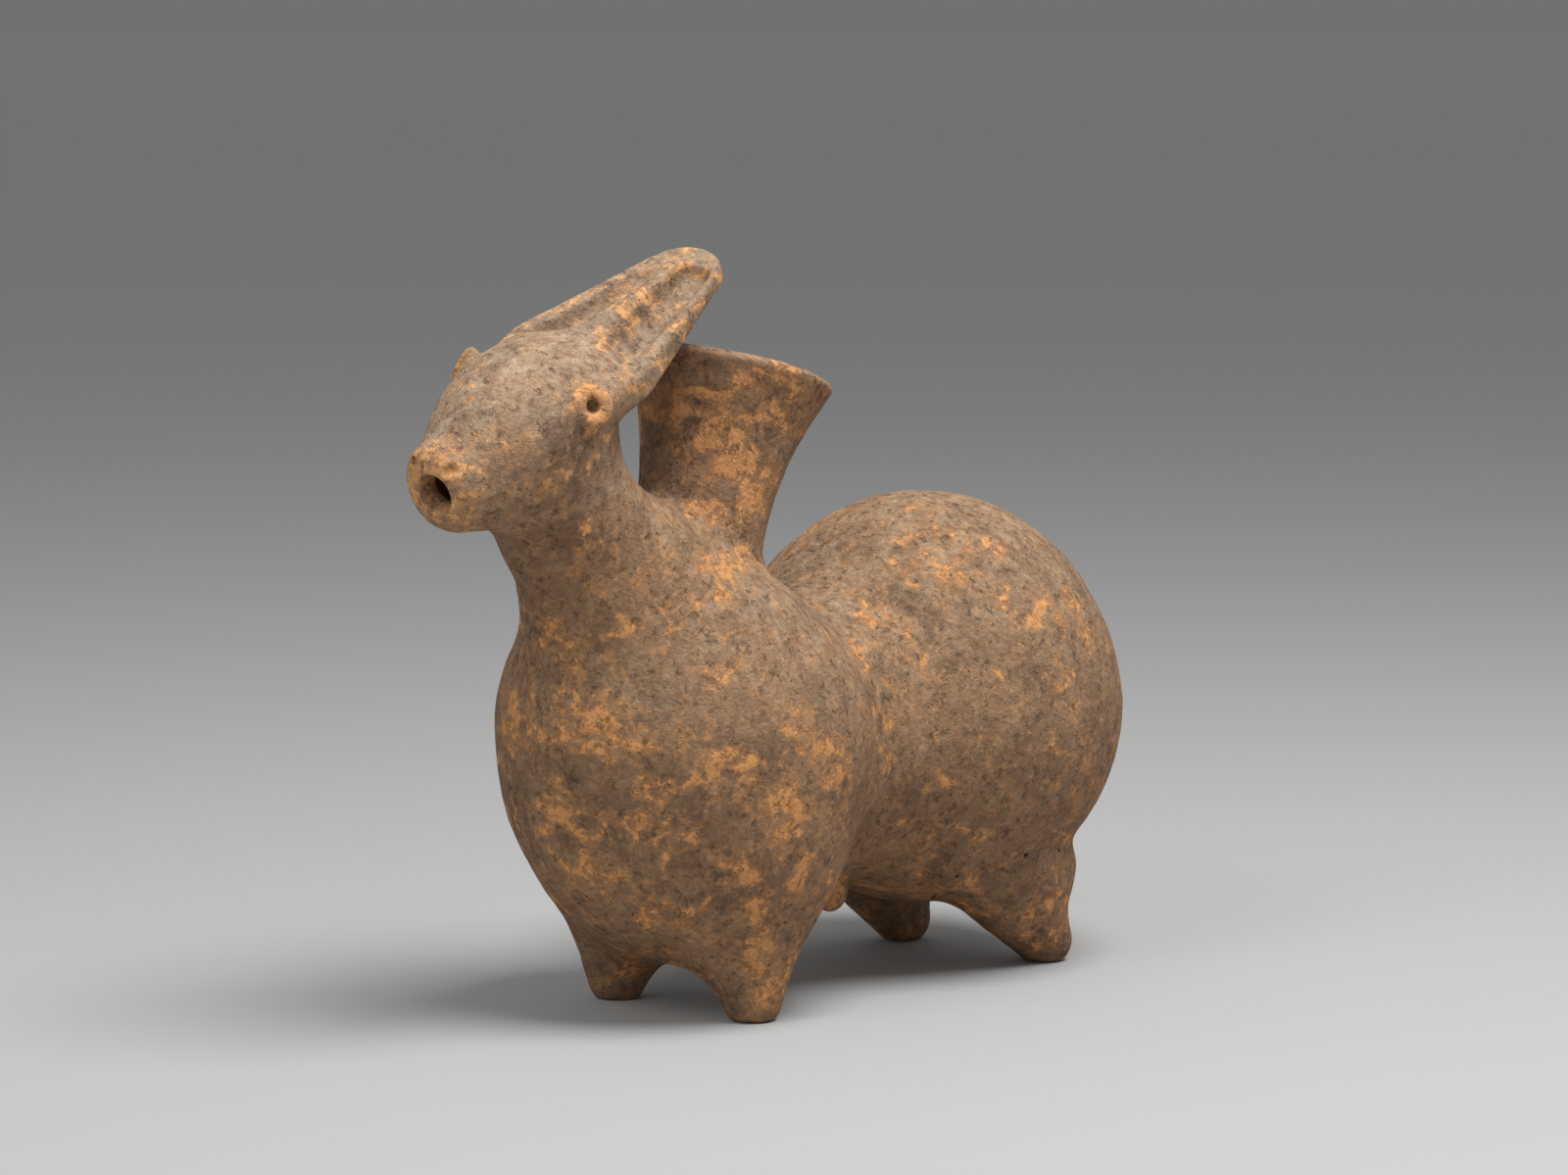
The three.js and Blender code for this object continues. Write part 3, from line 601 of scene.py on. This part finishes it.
# The look that all the clays share
def stained_clay_group():
    group = bpy.data.node_groups.new("stained_clay", "ShaderNodeTree")
    for name in ("Stain", "Dark stain", "Rubbed clay", "Dust"):
        group.interface.new_socket(name, in_out="INPUT", socket_type="NodeSocketColor")
    for name in ("Wear", "Wear spread", "Dust amount"):
        group.interface.new_socket(name, in_out="INPUT", socket_type="NodeSocketFloat")
    group.interface.new_socket("Color", in_out="OUTPUT", socket_type="NodeSocketColor")
    for name in ("Roughness", "Height"):
        group.interface.new_socket(name, in_out="OUTPUT", socket_type="NodeSocketFloat")
    nodes = group.nodes
    links = group.links
    given = nodes.new("NodeGroupInput")
    result = nodes.new("NodeGroupOutput")
    place = nodes.new("ShaderNodeTexCoord")

    def noise(scale, detail, roughness, distortion=0.0):
        node = nodes.new("ShaderNodeTexNoise")
        node.inputs["Scale"].default_value = scale
        node.inputs["Detail"].default_value = detail
        node.inputs["Roughness"].default_value = roughness
        node.inputs["Distortion"].default_value = distortion
        links.new(place.outputs["Object"], node.inputs["Vector"])
        return node.outputs["Fac"]

    def ramp(value, low, high, to_low=0.0, to_high=1.0):
        node = nodes.new("ShaderNodeMapRange")
        node.interpolation_type = "SMOOTHSTEP"
        node.inputs["From Min"].default_value = low
        node.inputs["From Max"].default_value = high
        node.inputs["To Min"].default_value = to_low
        node.inputs["To Max"].default_value = to_high
        links.new(value, node.inputs["Value"])
        return node.outputs["Result"]

    def combine(operation, a, b):
        node = nodes.new("ShaderNodeMath")
        node.operation = operation
        for socket, value in zip(node.inputs, (a, b)):
            if isinstance(value, float):
                socket.default_value = value
            else:
                links.new(value, socket)
        return node.outputs["Value"]

    def scaled(value, factor):
        return combine("MULTIPLY", value, factor)

    def swing(value, factor):
        return scaled(combine("SUBTRACT", value, 0.5), factor)

    def blend(fac, a, b):
        node = nodes.new("ShaderNodeMix")
        node.data_type = "RGBA"
        links.new(fac, node.inputs["Factor"])
        links.new(a, node.inputs["A"])
        links.new(b, node.inputs["B"])
        return node.outputs["Result"]

    # The stain, mottled darker
    mottle = ramp(noise(55, 6, 0.7, 0.4), 0.36, 0.66)
    colour = blend(mottle, given.outputs["Stain"], given.outputs["Dark stain"])

    # Ragged flakes rubbed off at the given places and here and there, each with a thin border
    ragged = combine("ADD", swing(noise(120, 3, 0.6, 0.6), 3.6), swing(noise(310, 6, 0.75, 0.4), 4.6))
    scattered = ramp(noise(30, 3, 0.6), 0.42, 0.72, -0.95, -0.22)
    scattered = combine("ADD", scattered, given.outputs["Wear spread"])
    placed = combine("SUBTRACT", scaled(given.outputs["Wear"], 0.95), 0.32)
    reach = combine("ADD", combine("MAXIMUM", placed, scattered), ragged)
    colour = blend(scaled(ramp(reach, -0.75, 0.2), 0.42), colour, given.outputs["Rubbed clay"])
    rubbed = ramp(reach, 0.24, 0.32)
    colour = blend(rubbed, colour, given.outputs["Rubbed clay"])

    # Pale dust on what faces up, thinner on the flakes
    geometry = nodes.new("ShaderNodeNewGeometry")
    split = nodes.new("ShaderNodeSeparateXYZ")
    links.new(geometry.outputs["Normal"], split.inputs["Vector"])
    upward = ramp(split.outputs["Z"], -0.2, 0.95)
    settled = combine("MULTIPLY", upward, ramp(noise(170, 7, 0.78), 0.38, 0.66))
    settled = combine("MULTIPLY", settled, given.outputs["Dust amount"])
    settled = combine("MULTIPLY", settled, ramp(rubbed, 0.0, 1.0, 1.0, 0.45))
    colour = blend(settled, colour, given.outputs["Dust"])

    # Grains, fibre marks and small hollows, in the colour and in the height
    grains = noise(620, 5, 0.75, 0.8)
    fibres = noise(280, 5, 0.72, 0.7)
    hollows = ramp(noise(360, 4, 0.7, 0.3), 0.30, 0.44)
    dim = combine("MULTIPLY", ramp(grains, 0.3, 0.7, 0.8, 1.18), ramp(hollows, 0.0, 1.0, 0.74, 1.0))
    dim = combine("MULTIPLY", dim, ramp(fibres, 0.32, 0.68, 0.86, 1.12))
    grey = nodes.new("ShaderNodeCombineColor")
    for name in ("Red", "Green", "Blue"):
        links.new(dim, grey.inputs[name])
    shade = nodes.new("ShaderNodeMix")
    shade.data_type = "RGBA"
    shade.blend_type = "MULTIPLY"
    shade.inputs["Factor"].default_value = 1
    links.new(colour, shade.inputs["A"])
    links.new(grey.outputs["Color"], shade.inputs["B"])
    height = combine("ADD", scaled(hollows, 0.5), scaled(fibres, 0.9))
    height = combine("ADD", height, scaled(grains, 0.45))
    height = combine("SUBTRACT", height, scaled(rubbed, 0.22))
    links.new(shade.outputs["Result"], result.inputs["Color"])
    links.new(ramp(mottle, 0.0, 1.0, 0.97, 0.86), result.inputs["Roughness"])
    links.new(height, result.inputs["Height"])
    return group


stained_clay = stained_clay_group()
CLAY_SPECULAR = 0.25
BUMP_STRENGTH = 0.9
BUMP_DISTANCE = 0.0016


def fired_clay(name, stain, dark, rubbed, dust, spread, dusty):
    material = bpy.data.materials.new(name)
    material.use_nodes = True
    nodes = material.node_tree.nodes
    links = material.node_tree.links
    surface = nodes["Principled BSDF"]
    surface.inputs["Specular IOR Level"].default_value = CLAY_SPECULAR
    group = nodes.new("ShaderNodeGroup")
    group.node_tree = stained_clay
    for socket, colour in (("Stain", stain), ("Dark stain", dark), ("Rubbed clay", rubbed), ("Dust", dust)):
        group.inputs[socket].default_value = colour + (1,)
    group.inputs["Wear spread"].default_value = spread
    group.inputs["Dust amount"].default_value = dusty
    worn = nodes.new("ShaderNodeAttribute")
    worn.attribute_name = "worn"
    links.new(worn.outputs["Fac"], group.inputs["Wear"])
    links.new(group.outputs["Color"], surface.inputs["Base Color"])
    links.new(group.outputs["Roughness"], surface.inputs["Roughness"])
    bump = nodes.new("ShaderNodeBump")
    bump.inputs["Strength"].default_value = BUMP_STRENGTH
    bump.inputs["Distance"].default_value = BUMP_DISTANCE
    links.new(group.outputs["Height"], bump.inputs["Height"])
    links.new(bump.outputs["Normal"], surface.inputs["Normal"])
    return material


def luted(name, node, material, parting, low, high, step):
    points, quads = model(parting, low, high, step)
    piece = bpy.data.objects.new(name + "_clay", clay_mesh(name + "_clay", points, quads))
    bpy.context.scene.collection.objects.link(piece)
    piece.data.materials.append(material)
    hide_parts(node)
    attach(piece, "root")


# Below nought where a point belongs to the trunk more than to the ears, funnel, eyes or bead
def past_small_lumps(p):
    part = lumps(p)
    small = [part[k] for k in ("ears", "funnel", "left eye", "right eye", "bead")]
    return part["trunk"] - np.minimum.reduce(small)


def chest_parting(p):
    left_leg = past_leg_joint(p, FRONT_LEG_JOINT, 1)
    right_leg = past_leg_joint(p, FRONT_LEG_JOINT, -1)
    neck = past_plane(p, *NECK_JOINT)
    return np.maximum.reduce([past_waist(p), neck, left_leg, right_leg, past_small_lumps(p)])


body_clay = fired_clay("body_clay", stain=(0.32, 0.187, 0.103), dark=(0.20, 0.116, 0.065),
                       rubbed=(0.64, 0.30, 0.112), dust=(0.50, 0.365, 0.24), spread=0.05, dusty=0.55)
luted("chest", "chest_chamber", body_clay, chest_parting,
      low=(-60, -95, 6), high=(60, 16, 158), step=1.1)


# rump_chamber: the larger rear globe of the same clay, hollow, with the haunches smeared on below.
# It was luted to the chest at the waist.
def rump_parting(p):
    left_leg = past_leg_joint(p, REAR_LEG_JOINT, 1)
    right_leg = past_leg_joint(p, REAR_LEG_JOINT, -1)
    return np.maximum.reduce([-past_waist(p), left_leg, right_leg, past_small_lumps(p)])


luted("rump", "rump_chamber", body_clay, rump_parting,
      low=(-67, 9, 14), high=(67, 144, 153), step=1.2)


# neck: a short hollow cylinder of clay between the shoulders and the head, smeared over both joints.
# It is the same stained clay as the two chambers.
def neck_parting(p):
    past_head = past_plane(p, *HEAD_JOINT)
    return np.maximum.reduce([-past_plane(p, *NECK_JOINT), past_head, past_small_lumps(p)])


luted("neck", "neck", body_clay, neck_parting,
      low=(-32, -118, 118), high=(32, -40, 172), step=1)


# head: skull, jowls and a blunt muzzle, hollow, pierced by the spout and by two nostrils.
# Handling has rubbed its muzzle down to the orange clay.
def head_parting(p):
    return np.maximum(-past_plane(p, *HEAD_JOINT), past_small_lumps(p))


head_clay = fired_clay("head_clay", stain=(0.36, 0.225, 0.138), dark=(0.22, 0.135, 0.082),
                       rubbed=(0.66, 0.34, 0.145), dust=(0.54, 0.415, 0.29), spread=0.05, dusty=0.6)
luted("head", "head", head_clay, head_parting,
      low=(-30, -145, 143), high=(32, -60, 212), step=0.9)


# left_ear and right_ear: one flat tongue of clay laid back from the head, a fingertip's trough drawn
# down each half and a ridge left standing between them, which is worn along its top.
def ear_parting(p, side):
    part = lumps(p)
    others = np.minimum.reduce([part[k] for k in ("trunk", "funnel", "left eye", "right eye")])
    return np.maximum(part["ears"] - others, -side * in_ears(p)[:, 0])


ear_clay = fired_clay("ear_clay", stain=(0.35, 0.228, 0.145), dark=(0.21, 0.135, 0.085),
                      rubbed=(0.68, 0.36, 0.155), dust=(0.50, 0.40, 0.29), spread=0.05, dusty=0.45)
luted("left_ear", "left_ear", ear_clay, lambda p: ear_parting(p, 1),
      low=(-4, -95, 178), high=(32, -24, 233), step=0.8)
luted("right_ear", "right_ear", ear_clay, lambda p: ear_parting(p, -1),
      low=(-28, -99, 188), high=(12, -24, 234), step=0.8)


# left_eye and right_eye: a ring of clay pressed on each side of the skull, with a pit in its middle.
# The stain is rubbed off most of it.
def eye_parting(p, eye):
    part = lumps(p)
    return part[eye] - np.minimum(part["trunk"], part["ears"])


eye_clay = fired_clay("eye_clay", stain=(0.38, 0.23, 0.13), dark=(0.22, 0.13, 0.08),
                      rubbed=(0.66, 0.33, 0.135), dust=(0.50, 0.38, 0.27), spread=0.9, dusty=0.3)
luted("left_eye", "left_eye", eye_clay, lambda p: eye_parting(p, "left eye"),
      low=(14, -118, 178), high=(34, -92, 204), step=0.5)
luted("right_eye", "right_eye", eye_clay, lambda p: eye_parting(p, "right eye"),
      low=(-32, -120, 182), high=(-10, -93, 208), step=0.5)


# filling_funnel: a waisted trumpet of clay on the shoulders, tipped back, with a rounded lip that
# is rubbed orange. Its foot is smeared into the chest.
def funnel_parting(p):
    part = lumps(p)
    return part["funnel"] - np.minimum(part["trunk"], part["ears"])


funnel_clay = fired_clay("funnel_clay", stain=(0.33, 0.20, 0.115), dark=(0.17, 0.10, 0.06),
                         rubbed=(0.62, 0.30, 0.12), dust=(0.50, 0.37, 0.26), spread=0.3, dusty=0.4)
luted("funnel", "filling_funnel", funnel_clay, funnel_parting,
      low=(-36, -52, 126), high=(36, 22, 206), step=1)


# The four legs: blunt cones of clay. The rear ones carry the lower half of the haunch roll.
# They were pressed on under the globes and the soles flattened while wet.
def leg_parting(p, joint, side):
    return np.maximum(-past_leg_joint(p, joint, side), -side * p[:, 0])


leg_clay = fired_clay("leg_clay", stain=(0.30, 0.18, 0.104), dark=(0.17, 0.10, 0.06),
                      rubbed=(0.60, 0.285, 0.11), dust=(0.47, 0.35, 0.25), spread=0.22, dusty=0.4)
FRONT_LEG_SPAN = (7, 50)
REAR_LEG_SPAN = (1, 58)
for side, name in ((1, "left"), (-1, "right")):
    low_x, high_x = sorted(side * x for x in FRONT_LEG_SPAN)
    luted("front_%s_leg" % name, "front_%s_leg" % name, leg_clay,
          lambda p: leg_parting(p, FRONT_LEG_JOINT, side),
          low=(low_x, -58, -3), high=(high_x, -9, 38), step=0.9)
    low_x, high_x = sorted(side * x for x in REAR_LEG_SPAN)
    luted("rear_%s_leg" % name, "rear_%s_leg" % name, leg_clay,
          lambda p: leg_parting(p, REAR_LEG_JOINT, side),
          low=(low_x, 34, -3), high=(high_x, 118, 50), step=1)


# belly_lump: a bead of clay left hanging under the waist, a little to the left of the middle.
# It has the same look as the funnel.
def bead_parting(p):
    part = lumps(p)
    return part["bead"] - part["trunk"]


luted("belly_lump", "belly_lump", funnel_clay, bead_parting,
      low=(-2, 12, 18), high=(18, 34, 44), step=0.7)


# The floor and the studio light: a wide grey matt floor, a broad lamp above, a weaker one in front
# and an even sky. The sky that the camera sees is darker, so that the floor's far edge does not show.
FLOOR_REACH = 150
FLOOR_COLOUR = (0.40, 0.40, 0.395, 1)
FLOOR_ROUGHNESS = 0.9
floor_mesh = bpy.data.meshes.new("floor")
floor_corners = [(x * FLOOR_REACH, y * FLOOR_REACH, 0) for x, y in ((-1, -1), (1, -1), (1, 1), (-1, 1))]
floor_mesh.from_pydata(floor_corners, [], [(0, 1, 2, 3)])
floor = bpy.data.objects.new("floor", floor_mesh)
bpy.context.scene.collection.objects.link(floor)
floor_paint = bpy.data.materials.new("floor_paint")
floor_paint.use_nodes = True
paint = floor_paint.node_tree.nodes["Principled BSDF"]
paint.inputs["Base Color"].default_value = FLOOR_COLOUR
paint.inputs["Roughness"].default_value = FLOOR_ROUGHNESS
floor_mesh.materials.append(floor_paint)

SKY_COLOUR = (0.86, 0.87, 0.88, 1)
SKY_STRENGTH = 0.42
SEEN_SKY_COLOUR = (0.165, 0.165, 0.163, 1)
world = bpy.data.worlds.new("studio")
bpy.context.scene.world = world
world.use_nodes = True
nodes = world.node_tree.nodes
links = world.node_tree.links
sky = nodes["Background"]
sky.inputs["Color"].default_value = SKY_COLOUR
sky.inputs["Strength"].default_value = SKY_STRENGTH
seen_sky = nodes.new("ShaderNodeBackground")
seen_sky.inputs["Color"].default_value = SEEN_SKY_COLOUR
ray = nodes.new("ShaderNodeLightPath")
either = nodes.new("ShaderNodeMixShader")
links.new(ray.outputs["Is Camera Ray"], either.inputs["Fac"])
links.new(sky.outputs["Background"], either.inputs[1])
links.new(seen_sky.outputs["Background"], either.inputs[2])
links.new(either.outputs["Shader"], nodes["World Output"].inputs["Surface"])

LAMP_AIM = Vector((0, 0, 0.1))


def lamp(name, place, size, power):
    data = bpy.data.lights.new(name, "AREA")
    data.shape = "DISK"
    data.size = size
    data.energy = power
    light = bpy.data.objects.new(name, data)
    light.location = place
    light.rotation_euler = (LAMP_AIM - Vector(place)).to_track_quat("-Z", "Y").to_euler()
    bpy.context.scene.collection.objects.link(light)


lamp("key_lamp", (0.55, 0.0, 1.35), size=0.8, power=24)
lamp("front_lamp", (0.1, -1.5, 1.2), size=0.9, power=8)

bpy.context.scene.view_settings.view_transform = "Standard"
